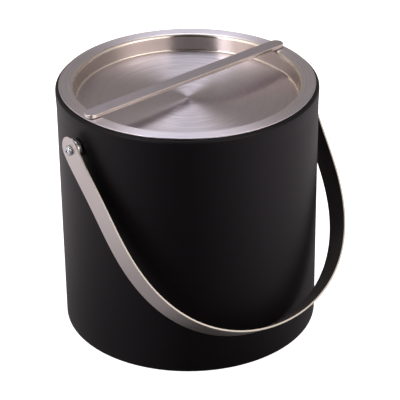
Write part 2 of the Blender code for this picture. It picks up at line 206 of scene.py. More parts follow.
# ---------------------------------------------------------------------------
# materials: tints are linear, noise scales per metre, bump distances in metres
# ---------------------------------------------------------------------------
def black_coat():
    """Satin powder coat: a fine orange-peel grain, slightly uneven gloss, and a painted highlight
    that makes convex edges a little lighter.
    """
    material, n, shader = new_material("black_powder_coat")
    at = n.object_place()
    grain = n.noise(at, scale=1500.0, detail=2.0, rough=0.6)
    peel = n.noise(at, scale=330.0, detail=2.0)
    cloud = n.noise(at, scale=9.0, rough=0.55)
    edge = n.add("ShaderNodeNewGeometry").outputs["Pointiness"]
    # painted highlight: convex edges, found by pointiness, are painted a little lighter
    edge_highlight = n.times(n.smooth(edge, between=(0.53, 0.60)), 0.12)
    base = n.mix(cloud, rgba(0.0012, 0.0010, 0.0011), rgba(0.0020, 0.0017, 0.0019))
    uneven = n.remap(cloud, between=(0.3, 0.7), to=(0.40, 0.46))
    speckle = n.remap(grain, between=(0.3, 0.7), to=(-0.02, 0.03))
    high = n.plus(n.times(grain, 0.4), peel)
    n.set(shader, {
        "Base Color": n.mix(edge_highlight, base, rgba(0.05, 0.05, 0.052)),
        "Roughness": n.plus(uneven, speckle),
        "IOR": 1.5,
        "Specular IOR Level": 0.20,
        "Specular Tint": rgba(0.97, 0.89, 1.0),
        "Normal": n.bump(high, strength=0.22, distance=0.00006),
    })
    return material


def turned_steel(name, tint, rough, aniso, streak, sheen_sectors=0.0):
    """Steel brushed on a lathe: fine rings round Z, broken into arcs.

    streak scales the contrast of the rings; sheen_sectors sets how much more strongly the rings are
    painted in two opposite wedges along the camera's line of sight, a painted sheen where the
    brushed highlight falls.
    """
    material, n, shader = new_material(name)
    at = n.object_place()
    x, y, z = n.xyz(at)
    radius = n.math("SQRT", n.plus(n.times(x, x), n.times(y, y)))
    rise = n.plus(radius, n.times(z, 0.83))
    unit = n.vmath("NORMALIZE", n.join(x, y, 0.0))
    unit_x, unit_y, _ = n.xyz(unit)
    parts = (unit_x, unit_y, rise)
    ring = n.streaks(parts, (0.5, 0.5, 3200.0), rough=0.65)
    broad = n.streaks(parts, (0.9, 0.9, 760.0))
    arcs = n.streaks(parts, (4.0, 4.0, 1300.0), detail=2.0)
    cloud = n.noise(at, scale=22.0, rough=0.55)
    line = n.plus(n.times(ring, 0.22), n.plus(n.times(broad, 0.46), n.times(arcs, 0.32)))
    line = n.remap(line, between=(0.33, 0.67))
    # painted sheen: the rings show more strongly in two opposite wedges facing towards and away
    # from the camera, where the brushed highlight falls
    sheen_mask = n.math("ABSOLUTE", n.dot(unit, (0.55, 0.835, 0.0)))
    sheen_mask = n.smooth(sheen_mask, between=(0.60, 0.93))
    depth = n.plus(n.times(sheen_mask, sheen_sectors), 1.0 - 0.35 * min(1.0, sheen_sectors))
    seen = n.plus(n.times(n.math("SUBTRACT", line, 0.5), depth), 0.5)
    colour = n.mix(seen, shade(tint, 1 - 0.12 * streak), shade(tint, 1 + 0.09 * streak))
    colour.node.clamp_factor = False
    gloss = 0.052 * streak / (1.0 + sheen_sectors)
    brushed_metal(
        n,
        shader,
        colour=n.mix(n.remap(cloud, between=(0.3, 0.75), to=(0.0, 0.35)), colour, shade(tint, 0.9)),
        rough=n.plus(
            n.remap(line, between=(0.0, 1.0), to=(rough + gloss, rough - gloss)),
            n.remap(cloud, between=(0.3, 0.7), to=(-0.015, 0.02)),
        ),
        aniso=aniso,
        tangent=n.round_z(),
        normal=n.bump(line, strength=0.12 * streak, distance=0.00004),
    )
    return material


def drawn_steel(name, tint, rough, aniso):
    """Steel polished along its height, as the drawn wall of a pressed pan."""
    material, n, shader = new_material(name)
    at = n.object_place()
    x, y, z = n.xyz(at)
    unit_x, unit_y, _ = n.xyz(n.vmath("NORMALIZE", n.join(x, y, 0.0)))
    fine = n.streaks((unit_x, unit_y, z), (260.0, 260.0, 90.0))
    rings = n.noise(n.join(unit_x, unit_y, n.times(z, 1500.0)), detail=2.0, rough=0.6)
    cloud = n.noise(at, scale=30.0, detail=2.0)
    line = n.plus(n.times(fine, 0.5), n.times(rings, 0.5))
    brushed_metal(
        n,
        shader,
        colour=n.mix(n.remap(line, between=(0.35, 0.65)), shade(tint, 0.93), shade(tint, 1.05)),
        rough=n.plus(
            n.remap(line, between=(0.3, 0.7), to=(rough + 0.02, rough - 0.02)),
            n.remap(cloud, between=(0.3, 0.7), to=(-0.01, 0.015)),
        ),
        aniso=aniso,
        tangent=n.round_z(),
        normal=n.bump(line, strength=0.08, distance=0.00004),
    )
    return material


def flat_steel(name, tint, rough, aniso, uv=False, grain=1.0, blast=0.0):
    """Flat bar brushed along its length: object X, or U of the map "along" when uv is set.

    grain scales the contrast; blast is the share of bead-blasted tooth in the texture.
    """
    material, n, shader = new_material(name)
    coord = n.add("ShaderNodeTexCoord")
    at = coord.outputs["Object"]
    if uv:
        u, v, _ = n.xyz(coord.outputs["UV"])
        parts = (u, v, 0.0)
        tangent = n.add("ShaderNodeTangent", direction_type="UV_MAP", uv_map="along")
    else:
        parts = n.xyz(at)
        tangent = n.add(
            "ShaderNodeVectorTransform",
            {0: (1.0, 0.0, 0.0)},
            vector_type="VECTOR",
            convert_from="OBJECT",
            convert_to="WORLD",
        )
    hair = n.streaks(parts, (60.0, 4200.0, 4200.0))
    band = n.streaks(parts, (14.0, 700.0, 700.0), detail=2.0, rough=0.5)
    tooth = n.noise(at, scale=2600.0, detail=2.0, rough=0.7)
    cloud = n.noise(at, scale=45.0, rough=0.6)
    line = n.plus(n.times(hair, 0.6), n.times(band, 0.4))
    mixed = n.plus(n.times(line, 1.0 - blast), n.times(tooth, blast))
    mixed = n.remap(mixed, between=(0.32, 0.68))
    colour = n.mix(mixed, shade(tint, 1 - 0.10 * grain), shade(tint, 1 + 0.07 * grain))
    brushed_metal(
        n,
        shader,
        colour=n.mix(n.remap(cloud, between=(0.3, 0.75), to=(0.0, 0.3)), colour, shade(tint, 0.88)),
        rough=n.plus(
            n.remap(mixed, between=(0.0, 1.0), to=(rough + 0.05 * grain, rough - 0.04 * grain)),
            n.remap(cloud, between=(0.3, 0.7), to=(-0.02, 0.03)),
        ),
        aniso=aniso,
        tangent=tangent.outputs[0],
        normal=n.bump(mixed, strength=0.14 * grain, distance=0.00005),
    )
    return material


def plated(name, tint, rough, patch):
    """Bright plating: faint turning rings and a cloudy gloss, its patches shaded by patch."""
    material, n, shader = new_material(name)
    at = n.object_place()
    x, y, z = n.xyz(at)
    radius = n.math("SQRT", n.plus(n.times(x, x), n.times(y, y)))
    rings = n.noise(n.join(0.0, 0.0, n.times(n.plus(radius, z), 5200.0)), detail=2.0)
    cloud = n.noise(at, scale=420.0, rough=0.6)
    n.set(shader, {
        "Base Color": n.mix(n.remap(cloud, between=(0.35, 0.7)), rgba(*tint), shade(tint, patch)),
        "Metallic": 1.0,
        "Roughness": n.plus(
            n.remap(cloud, between=(0.3, 0.7), to=(rough - 0.03, rough + 0.05)),
            n.remap(rings, between=(0.3, 0.7), to=(-0.02, 0.02)),
        ),
        "Normal": n.bump(n.plus(rings, n.times(cloud, 0.5)), strength=0.06, distance=0.00003),
    })
    return material


def soft(name, tint, rough, tooth_scale, depth, spread=0.0):
    """Moulded rubber or nylon: fine tooth, faint mottling; spread is the subsurface weight."""
    material, n, shader = new_material(name)
    at = n.object_place()
    tooth = n.noise(at, scale=tooth_scale, rough=0.6)
    cloud = n.noise(at, scale=60.0)
    mottle = n.remap(cloud, between=(0.3, 0.7))
    n.set(shader, {
        "Base Color": n.mix(mottle, shade(tint, 0.85), shade(tint, 1.12)),
        "Roughness": n.remap(tooth, between=(0.3, 0.7), to=(rough - 0.06, rough + 0.06)),
        "Normal": n.bump(tooth, strength=0.35, distance=depth),
    })
    if spread:
        n.set(shader, {"Subsurface Weight": spread, "Subsurface Scale": 0.001})
    return material


def foam():
    """Rigid foam: small cells with thin walls."""
    material, n, shader = new_material("rigid_foam")
    at = n.object_place()
    cells = n.add(
        "ShaderNodeTexVoronoi", {"Vector": at, "Scale": 700.0}, feature="DISTANCE_TO_EDGE"
    )
    wall = n.smooth(cells.outputs["Distance"], between=(0.0, 0.12))
    cloud = n.noise(at, scale=35.0, rough=0.55)
    cell = n.mix(cloud, rgba(0.72, 0.62, 0.38), rgba(0.82, 0.73, 0.50))
    n.set(shader, {
        "Base Color": n.mix(wall, rgba(0.86, 0.79, 0.58), cell),
        "Roughness": 0.9,
        "Normal": n.bump(wall, strength=0.5, distance=0.0003),
    })
    return material


COAT = black_coat()
LID_STEEL = turned_steel(
    "lathe_brushed_steel", tint=(0.68, 0.635, 0.700), rough=0.37, aniso=0.95, streak=1.3
)
# painted shade: the pan's sunk floor gets a darker copy of the rim's turned steel, and its rings
# carry painted sheen in two wedges
FLOOR_SHADED_STEEL = turned_steel(
    "shaded_floor_steel",
    tint=(0.550, 0.502, 0.545), rough=0.35, aniso=0.95, streak=1.5, sheen_sectors=1.6,
)
WALL_STEEL = drawn_steel("drawn_wall_steel", tint=(0.69, 0.628, 0.588), rough=0.20, aniso=1.0)
LINER_STEEL = turned_steel(
    "liner_steel", tint=(0.64, 0.625, 0.62), rough=0.30, aniso=0.6, streak=0.8
)
BAR_STEEL = flat_steel("bar_steel", tint=(0.51, 0.465, 0.515), rough=0.34, aniso=0.85)
# partly real, partly painted: the bar's sides have a real polish in their lower roughness and a
# painted highlight in their lighter, warmer tint
BAR_SIDE_SHEEN = flat_steel("bar_side_sheen_steel", tint=(0.74, 0.68, 0.63), rough=0.26, aniso=0.60)
STRAP_STEEL = flat_steel(
    "strap_steel",
    tint=(0.61, 0.565, 0.545), rough=0.36, aniso=0.30, uv=True, grain=0.8, blast=0.55,
)
STRAP_EDGE = flat_steel(
    "strap_edge_steel",
    tint=(0.47, 0.445, 0.41), rough=0.34, aniso=0.30, uv=True, grain=0.8, blast=0.3,
)
CHROME = plated("polished_chrome", tint=(0.86, 0.84, 0.87), rough=0.24, patch=0.94)
ZINC = plated("zinc_plate", tint=(0.62, 0.66, 0.695), rough=0.19, patch=0.86)
SILICONE = soft(
    "dark_silicone", tint=(0.022, 0.022, 0.024), rough=0.62, tooth_scale=900.0, depth=0.00008
)
NYLON = soft(
    "natural_nylon",
    tint=(0.70, 0.68, 0.62), rough=0.42, tooth_scale=700.0, depth=0.00004, spread=0.3,
)
FOAM = foam()


# ---------------------------------------------------------------------------
# mesh helpers
# ---------------------------------------------------------------------------
def smoothstep(t):
    return t * t * (3 - 2 * t)


def arc(centre_x, centre_z, radius, start, end, steps):
    """Points of an arc, its angles in degrees."""
    angles = [math.radians(start + (end - start) * i / steps) for i in range(steps + 1)]
    return [(centre_x + radius * math.cos(a), centre_z + radius * math.sin(a)) for a in angles]


def link(name, bm, mats, sharp_angle=35.0):
    bmesh.ops.recalc_face_normals(bm, faces=bm.faces)
    mesh = bpy.data.meshes.new(name)
    bm.to_mesh(mesh)
    bm.free()
    for material in mats:
        mesh.materials.append(material)
    mesh.shade_smooth()
    mesh.set_sharp_from_angle(angle=math.radians(sharp_angle))
    obj = bpy.data.objects.new(name, mesh)
    bpy.context.scene.collection.objects.link(obj)
    return obj


def clean(profile, tolerance=1e-4):
    """Drops points that repeat the one before, and a last point that repeats the first."""
    out = []
    for point in profile:
        if not out or math.dist(point, out[-1]) > tolerance:
            out.append(point)
    if math.dist(out[0], out[-1]) <= tolerance:
        out.pop()
    return out


def lathe(name, profile, mats, segments=ROUND_STEPS, pick=None, sharp_angle=35.0):
    """A turned body: profile is a closed loop of (radius, height); radius 0 is on the axis.

    pick gives the material slot for the band between two profile points.
    """
    profile = clean(profile)
    bm = bmesh.new()
    turns = [math.tau * i / segments for i in range(segments)]
    rings = []
    for r, z in profile:
        if abs(r) < 1e-9:
            rings.append([bm.verts.new((0.0, 0.0, z * MM))])
        else:
            rings.append(
                [bm.verts.new((r * MM * math.cos(t), r * MM * math.sin(t), z * MM)) for t in turns]
            )
    for k, a in enumerate(rings):
        after = (k + 1) % len(rings)
        b = rings[after]
        if len(a) == 1 and len(b) == 1:
            continue
        slot = pick(profile[k], profile[after]) if pick else 0
        for i in range(segments):
            j = (i + 1) % segments
            if len(a) == 1:
                corners = (a[0], b[j], b[i])
            elif len(b) == 1:
                corners = (a[i], a[j], b[0])
            else:
                corners = (a[i], a[j], b[j], b[i])
            bm.faces.new(corners).material_index = slot
    return link(name, bm, mats, sharp_angle)


def round_corners(points, radii, steps):
    """A closed outline with each corner turned into an arc of its own radius."""
    out = []
    for i, (point, radius) in enumerate(zip(points, radii)):
        corner = Vector(point)
        if radius <= 0:
            out.append(tuple(corner))
            continue
        before = (Vector(points[i - 1]) - corner).normalized()
        after = (Vector(points[(i + 1) % len(points)]) - corner).normalized()
        half = math.acos(before.dot(after)) / 2
        back = radius / math.tan(half)
        centre = corner + (before + after).normalized() * (radius / math.sin(half))
        start = corner + before * back - centre
        end = corner + after * back - centre
        turn = start.angle_signed(end)
        for k in range(steps + 1):
            cos, sin = math.cos(turn * k / steps), math.sin(turn * k / steps)
            out.append(
                (
                    centre.x + start.x * cos + start.y * sin,
                    centre.y - start.x * sin + start.y * cos,
                )
            )
    return out


def bake(obj):
    """Turns an object's modifiers into its mesh."""
    bpy.context.view_layer.update()
    depsgraph = bpy.context.evaluated_depsgraph_get()
    mesh = bpy.data.meshes.new_from_object(obj.evaluated_get(depsgraph), depsgraph=depsgraph)
    old = obj.data
    obj.modifiers.clear()
    obj.data = mesh
    mesh.name = old.name + "_final"


def bake_bevel(obj, width):
    bevel = obj.modifiers.new("edge", "BEVEL")
    bevel.width = width * MM
    bevel.segments = 3
    bevel.limit_method = "ANGLE"
    bevel.angle_limit = math.radians(50.0)
    bake(obj)


def weight_normals(obj):
    weighted = obj.modifiers.new("weighted", "WEIGHTED_NORMAL")
    weighted.keep_sharp = True
    weighted.weight = 80


def cylinder_cutter(radius, low, high, matrix):
    """A cutter along the Z of matrix, from low to high."""
    bm = bmesh.new()
    bmesh.ops.create_cone(
        bm,
        cap_ends=True,
        segments=HOLE_STEPS,
        radius1=radius * MM,
        radius2=radius * MM,
        depth=(high - low) * MM,
    )
    bmesh.ops.translate(bm, vec=(0, 0, (low + high) / 2 * MM), verts=bm.verts)
    bmesh.ops.transform(bm, matrix=matrix, verts=bm.verts)
    return link("cutter", bm, [])


def cut(obj, tool):
    """Cuts the tool out of the object, welds slivers and removes the tool."""
    boolean = obj.modifiers.new("cut", "BOOLEAN")
    boolean.operation = "DIFFERENCE"
    boolean.solver = "EXACT"
    boolean.object = tool
    bake(obj)
    bm = bmesh.new()
    bm.from_mesh(obj.data)
    bmesh.ops.remove_doubles(bm, verts=bm.verts, dist=2e-6)
    bmesh.ops.dissolve_degenerate(bm, edges=bm.edges, dist=2e-6)
    bm.to_mesh(obj.data)
    bm.free()
    mesh = tool.data
    bpy.data.objects.remove(tool)
    bpy.data.meshes.remove(mesh)


def place(obj, body, node):
    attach(obj, body)
    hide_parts(node)


def pivot_seat(sign):
    """Frame at the pivots with its Z pointing out along X on the side of sign."""
    return Matrix.Translation(PIVOT) @ Matrix.Rotation(sign * math.pi / 2, 4, "Y")


# ---------------------------------------------------------------------------
# bucket
# ---------------------------------------------------------------------------
FLARE_OUT, FLARE_START, FLARE_HEIGHT = 0.4, 174.7, 12.0
BODY_R = LIP_R - FLARE_OUT
LIP_ROUND = 2.2
FOOT_ROUND = 1.2
FOOT_OPENING_R = 89.0
LEDGE_TOP, LEDGE_R = FOOT + 187.9, 88.0
SCREW_HOLE_R = 2.5


def flare(z):
    """Outside radius of the wall from FLARE_START up: a slight easing out under the lip."""
    return BODY_R + FLARE_OUT * smoothstep((z - FLARE_START) / FLARE_HEIGHT)


def build_outer_shell():
    """Outer wall with a rolled lip, a ledge inside it and a turned-in foot."""
    roll_r, roll_z = LIP_R - LIP_ROUND, LIP_TOP - LIP_ROUND
    foot_bend = 2 * SHEET
    ledge_under = LEDGE_TOP - SHEET

    profile = arc(roll_r, roll_z, LIP_ROUND, 90, 0, 12)
    for z in (186.7, 185.2, 183.7, 181.7, 179.7, 177.7, 176.2, FLARE_START):
        profile.append((flare(z), z))
    profile += [(BODY_R, z) for z in (150.0, 120.0, 90.0, 60.0, 30.0, 10.0)]
    profile += arc(BODY_R - FOOT_ROUND, FOOT + FOOT_ROUND, FOOT_ROUND, 0, -90, 8)
    profile += [
        (FOOT_OPENING_R, FOOT),
        (FOOT_OPENING_R - NICK, FOOT + NICK),
        (FOOT_OPENING_R - NICK, FOOT + SHEET - NICK),
        (FOOT_OPENING_R, FOOT + SHEET),
    ]
    profile += arc(BODY_R - foot_bend, FOOT + foot_bend, SHEET, -90, 0, 4)
    profile += [(BODY_R - SHEET, z) for z in (60.0, 120.0, FLARE_START)]
    profile += [(flare(z) - SHEET, z) for z in (177.7, 180.7, 183.7, 186.7)]
    profile += arc(roll_r, roll_z, LIP_ROUND - SHEET, 0, 90, 6)
    # down under the ledge, round its inner edge and back up to the lip
    profile += [
        (93.4, LIP_TOP - SHEET),
        (92.1, ledge_under),
        (LEDGE_R, ledge_under),
        (LEDGE_R - NICK, ledge_under + NICK),
        (LEDGE_R - NICK, LEDGE_TOP - NICK),
        (LEDGE_R, LEDGE_TOP),
        (91.5, LEDGE_TOP),
        (91.9, LEDGE_TOP + 0.15),
        (93.0, LIP_TOP - 0.35),
        (93.4, LIP_TOP - 0.05),
    ]
    shell = lathe("outer_shell_coated", profile, [COAT])
    for _, sign in SIDES:
        cut(shell, cylinder_cutter(SCREW_HOLE_R, 88.0, 100.0, pivot_seat(sign)))
    place(shell, "bucket", "outer_shell")


LINER_R, LINER_CORNER, LINER_ROLL = 85.0, 14.0, 2.2
LINER_FLOOR = LINER_BOTTOM + SHEET


def build_liner():
    """Inner pot with a round bottom corner and a flange turned out at the top."""
    roll_r, roll_z = LINER_R + LINER_ROLL, FLANGE_TOP - LINER_ROLL
    corner_r, corner_z = LINER_R - LINER_CORNER, LINER_FLOOR + LINER_CORNER
    profile = (
        [(FLANGE_R - NICK, FLANGE_TOP)]
        + arc(roll_r, roll_z, LINER_ROLL, 90, 180, 10)
        + [(LINER_R, z) for z in (170.0, 150.0, 125.0, 100.0, 75.0, 50.0, 35.0)]
        + arc(corner_r, corner_z, LINER_CORNER, 0, -90, 18)
        + [(r, LINER_FLOOR) for r in (55.0, 35.0, 15.0, 0)]
        + [(r, LINER_FLOOR - SHEET) for r in (0, 35.0)]
        + arc(corner_r, corner_z, LINER_CORNER + SHEET, -90, 0, 12)
        + [(LINER_R + SHEET, 100.0)]
        + arc(roll_r, roll_z, LINER_ROLL - SHEET, 180, 90, 6)
        + [
            (FLANGE_R - NICK, FLANGE_TOP - SHEET),
            (FLANGE_R, FLANGE_TOP - SHEET + NICK),
            (FLANGE_R, FLANGE_TOP - NICK),
        ]
    )
    liner = lathe("liner_brushed", profile, [LINER_STEEL])
    place(liner, "bucket", "inner_liner")


def build_base_plate():
    """Flat disc with one raised ring pressed into it."""
    top, ring_rise, bend = BASE_BOTTOM + SHEET, 1.0, 1.2
    # radius, height, rounding
    corners = [
        (0.0, top, 0),
        (57.7, top, bend),
        (60.0, top + ring_rise, bend),
        (64.0, top + ring_rise, bend),
        (66.3, top, bend),
        (BASE_R, top, 0.2),
        (BASE_R, BASE_BOTTOM, 0.2),
        (66.3, BASE_BOTTOM, bend),
        (64.3, BASE_BOTTOM + ring_rise, bend),
        (59.7, BASE_BOTTOM + ring_rise, bend),
        (57.7, BASE_BOTTOM, bend),
        (0.0, BASE_BOTTOM, 0),
    ]
    profile = round_corners([c[:2] for c in corners], [c[2] for c in corners], steps=4)
    base = lathe("base_plate_coated", profile, [COAT], PLAIN_STEPS)
    place(base, "bucket", "base_plate")


def build_base_pad():
    """Foot pad with three ring grooves underneath."""
    edge_round, groove_depth = 0.5, 0.35
    profile = [(0.0, 0.0)]
    for groove_r in (58.0, 68.0, 78.0):
        profile += [
            (groove_r - 1.2, 0.0),
            (groove_r - 0.9, groove_depth),
            (groove_r + 0.9, groove_depth),
            (groove_r + 1.2, 0.0),
        ]
    profile += arc(PAD_R - edge_round, edge_round, edge_round, -90, 0, 4)
    profile += [(PAD_R, PAD_TOP - NICK), (PAD_R - NICK, PAD_TOP), (0.0, PAD_TOP)]
    pad = lathe("base_pad_moulded", profile, [SILICONE], PLAIN_STEPS)
    place(pad, "bucket", "base_pad")


def dress_cad_pieces():
    """Foam and hidden fasteners keep their CAD shape and get their materials."""
    dressed = [(node, FOAM) for node in ("insulation_sleeve", "insulation_disc", "lid_insulation")]
    for part in ("hex_nut", "backing_washer", "spring_washer"):
        dressed += [(f"{side}_{part}", ZINC) for side, _ in SIDES]
    for node, material in dressed:
        mesh = frame["nodes"][node].data
        mesh.materials.clear()
        mesh.materials.append(material)


build_outer_shell()
build_liner()
build_base_plate()
build_base_pad()
dress_cad_pieces()

# ---------------------------------------------------------------------------
# pivots: heights run outwards along the pivot line
# ---------------------------------------------------------------------------
SPACER_R = (SPACER_TOP - SPACER_BOTTOM) / 2
HEAD_HEIGHT, HEAD_SIDE, HEAD_R = 2.5, 0.75, 3.8
HEAD_IN = HEAD_OUT - HEAD_HEIGHT
SCREW_R = 2.0
THREAD_PITCH, THREAD_DEPTH = 0.7, 0.32


def cross_recess_cutter():
    """The driver's cross: four tapering wings that meet in a pointed pocket."""
    # wing length, half width, height from the head's crown
    levels = ((0.55, 0.22, -1.75), (1.35, 0.36, -1.15), (2.15, 0.50, 0.7))
    bm = bmesh.new()
    rings = []
    for reach, half, height in levels:
        z = HEAD_OUT + height
        ring = []
        for quarter in range(4):
            spin = Matrix.Rotation(quarter * math.pi / 2, 3, "Z")
            for x, y in ((reach, -half), (reach, half), (half, half)):
                ring.append(bm.verts.new(spin @ Vector((x * MM, y * MM, z * MM))))
        rings.append(ring)
    for low, high in zip(rings, rings[1:]):
        for i in range(len(low)):
            j = (i + 1) % len(low)
            bm.faces.new((low[i], low[j], high[j], high[i]))
    bm.faces.new(rings[0])
    bm.faces.new(rings[-1])
    turn = Matrix.Rotation(math.radians(38), 3, "Z")
    bmesh.ops.rotate(bm, cent=(0, 0, 0), matrix=turn, verts=bm.verts)
    return link("cutter", bm, [])


def screw_profile():
    """Chamfered tip, ringed thread, plain shank and pan head."""
    tip, head_edge, dome_steps = 0.5, 0.2, 14
    profile = [(0.0, SCREW_END), (SCREW_R - tip, SCREW_END), (SCREW_R, SCREW_END + tip)]
    z = SCREW_END + 0.6
    while z < 93.8:
        profile += [(SCREW_R, z), (SCREW_R - THREAD_DEPTH, z + 0.3), (SCREW_R, z + 0.6)]
        z += THREAD_PITCH
    profile += [(SCREW_R, 94.8), (SCREW_R, HEAD_IN)]
    profile += arc(HEAD_R - head_edge, HEAD_IN + head_edge, head_edge, -90, 0, 3)
    # the head is nearly straight at the side, with a wide flat crown
    for k in range(dome_steps):
        angle = math.radians(90.0 * k / dome_steps)
        height = HEAD_IN + HEAD_SIDE + (HEAD_HEIGHT - HEAD_SIDE) * math.sin(angle)
        profile.append((HEAD_R * math.cos(angle) ** 0.55, height))
    return profile + [(0.0, HEAD_IN + HEAD_HEIGHT)]


def build_spacer(side, seat):
    bore = 2.4
    profile = round_corners(
        [(bore, SPACER_IN), (SPACER_R, SPACER_IN), (SPACER_R, SPACER_OUT), (bore, SPACER_OUT)],
        [0.2, 0.9, 1.0, 0.2],
        steps=5,
    )
    spacer = lathe(f"{side}_spacer_polished", profile, [CHROME], SMALL_STEPS)
    spacer.matrix_world = seat
    place(spacer, "bucket", f"{side}_spacer")


def build_screw(side, seat):
    screw = lathe(
        f"{side}_screw_plated", screw_profile(), [ZINC], SMALL_STEPS, sharp_angle=50.0
    )
    cut(screw, cross_recess_cutter())
    screw.data.set_sharp_from_angle(angle=math.radians(40))
    screw.matrix_world = seat
    place(screw, "bucket", f"{side}_pivot_screw")


def build_bush(side, seat):
    """Flanged sleeve in the strap's eye."""
    bore, sleeve_r, flange_r = 2.35, 3.2, 5.0
    flange_out = BUSH_IN + 0.75
    profile = round_corners(
        [
            (bore, BUSH_IN),
            (flange_r, BUSH_IN),
            (flange_r, flange_out),
            (sleeve_r, flange_out),
            (sleeve_r, BUSH_OUT),
            (bore, BUSH_OUT),
        ],
        [0.1, 0.2, 0.2, 0.0, 0.15, 0.1],
        steps=3,
    )
    bush = lathe(f"{side}_bush_turned", profile, [NYLON], SMALL_STEPS)
    bush.matrix_world = seat
    place(bush, "bail", f"{side}_bush")


for side, sign in SIDES:
    build_spacer(side, pivot_seat(sign))
    build_screw(side, pivot_seat(sign))
    build_bush(side, pivot_seat(sign))

# ---------------------------------------------------------------------------
# strap handle
# ---------------------------------------------------------------------------
STRAP_WIDTH, STRAP_THICK, STRAP_HALF = 19.9, 1.2, 102.5
# what the U's radius gains with the 2nd, 4th and 6th power of sin(psi)
STRAP_BOW = (21.0, 110.4, -64.6)
STRAP_SPLAY = math.radians(1.8)
SPLAY_RUN = math.radians(12.0)
EYE_R = 3.5


def strap_line(psi):
    """Centre line of the U as (x, depth below the pivots); psi runs 0 to pi, eye to eye."""
    sin2 = math.sin(psi) ** 2
    rho = STRAP_HALF + STRAP_BOW[0] * sin2 + STRAP_BOW[1] * sin2**2 + STRAP_BOW[2] * sin2**3
    return rho * math.cos(psi), rho * math.sin(psi)


def strap_splay(psi):
    """How far the section leans at psi: none at the eyes, all of it from a little below them."""
    return STRAP_SPLAY * smoothstep(min(1.0, min(psi, math.pi - psi) / SPLAY_RUN))


def strap_stations():
    """Sections along the strap: x, depth, normal x, normal depth, half width, lean."""
    half, end_steps, line_steps = STRAP_WIDTH / 2, 20, 200

    def end_station(sign, t):
        return (sign * STRAP_HALF, -half * math.sin(t), sign, 0.0, half * math.cos(t), 0.0)

    stations = []
    for i in range(end_steps + 1):
        stations.append(end_station(1.0, math.pi / 2 * (1 - i / end_steps)))
    for i in range(1, line_steps):
        psi = math.pi * i / line_steps
        x, depth = strap_line(psi)
        x0, depth0 = strap_line(psi - 1e-4)
        x1, depth1 = strap_line(psi + 1e-4)
        tangent = Vector((x1 - x0, depth1 - depth0)).normalized()
        stations.append((x, depth, tangent.y, -tangent.x, half, strap_splay(psi)))
    for i in range(end_steps + 1):
        stations.append(end_station(-1.0, math.pi / 2 * i / end_steps))
    return stations


def strap_mesh():
    """A flat section swept along the U, half-round past each pivot.

    The UV map "along" keeps length in U and width in V, in metres.
    """
    # offset along the normal, side across the width
    corners = ((1, -1), (1, 1), (-1, 1), (-1, -1))
    bm = bmesh.new()
    uv = bm.loops.layers.uv.new("along")
    sections = []  # verts, length run so far, half width
    run, last = 0.0, None
    for x, depth, normal_x, normal_depth, half, lean in strap_stations():
        if last is not None:
            run += math.hypot(x - last[0], depth - last[1])
        last = (x, depth)
        made = []
        for off, side in corners:
            k = off * STRAP_THICK / 2 - side * half * math.sin(lean)
            made.append((
                (x + normal_x * k) * MM,
                side * half * math.cos(lean) * MM,
                -(depth + normal_depth * k) * MM,
            ))
        if half < 1e-6:
            # the tip of a round end has no width, so each pair of corners is one point
            outer = bm.verts.new(made[0])
            inner = bm.verts.new(made[2])
            verts = [outer, outer, inner, inner]
        else:
            verts = [bm.verts.new(point) for point in made]
        sections.append((verts, run, half))
    for a, b in zip(sections, sections[1:]):
        for i in range(4):
            j = (i + 1) % 4
            on_edge = i % 2
            quad = []
            for (verts, length, half), c in ((a, i), (a, j), (b, j), (b, i)):
                if any(verts[c] is vert for vert, _ in quad):
                    continue
                off, side = corners[c]
                across = half * side + on_edge * STRAP_THICK / 2 * off
                quad.append((verts[c], (length * MM, across * MM)))
            face = bm.faces.new([vert for vert, _ in quad])
            face.material_index = on_edge
            for loop, (_, place_uv) in zip(face.loops, quad):
                loop[uv].uv = place_uv
    return bm


def build_strap():
    strap = link("strap_handle_steel", strap_mesh(), [STRAP_STEEL, STRAP_EDGE], 45.0)
    bake_bevel(strap, 0.2)
    along_x = Matrix.Rotation(math.pi / 2, 4, "Y")
    cut(strap, cylinder_cutter(EYE_R, -120.0, 120.0, along_x))
    strap.data.set_sharp_from_angle(angle=math.radians(45))
    weight_normals(strap)
    strap.matrix_world = Matrix.Translation(PIVOT) @ Matrix.Rotation(-STRAP_REST, 4, "X")
    place(strap, "bail", "bail_strap")


build_strap()

# ---------------------------------------------------------------------------
# lid
# ---------------------------------------------------------------------------
LID_TURN = math.radians(4.3)
RIM_R, RIM_ROUND = 93.7, 0.4
PAN_SHEET = 1.0
PAN_FLOOR = PAN_BOTTOM + PAN_SHEET
PAN_WALL_R, PAN_SHOULDER, PAN_CORNER = 82.2, 3.0, 1.6
PLUG_R, PLUG_CORNER = 84.3, 2.0
BAR_WIDTH, BAR_LENGTH = 10.8, 187.2


def place_on_lid(obj, node):
    obj.rotation_euler = (0, 0, LID_TURN)
    place(obj, "lid", node)


def pan_slot(start, end):
    """Slot 1 is the drawn wall and its roundings, 2 the floor inside it, 0 the rim."""
    r, z = (start[0] + end[0]) / 2, (start[1] + end[1]) / 2
    in_wall = PAN_WALL_R - PAN_CORNER * 0.95 < r <= PAN_WALL_R + PAN_SHOULDER * 0.62
    if in_wall and PAN_FLOOR < z < RIM_TOP:
        return 1
    return 2 if r < PAN_WALL_R else 0


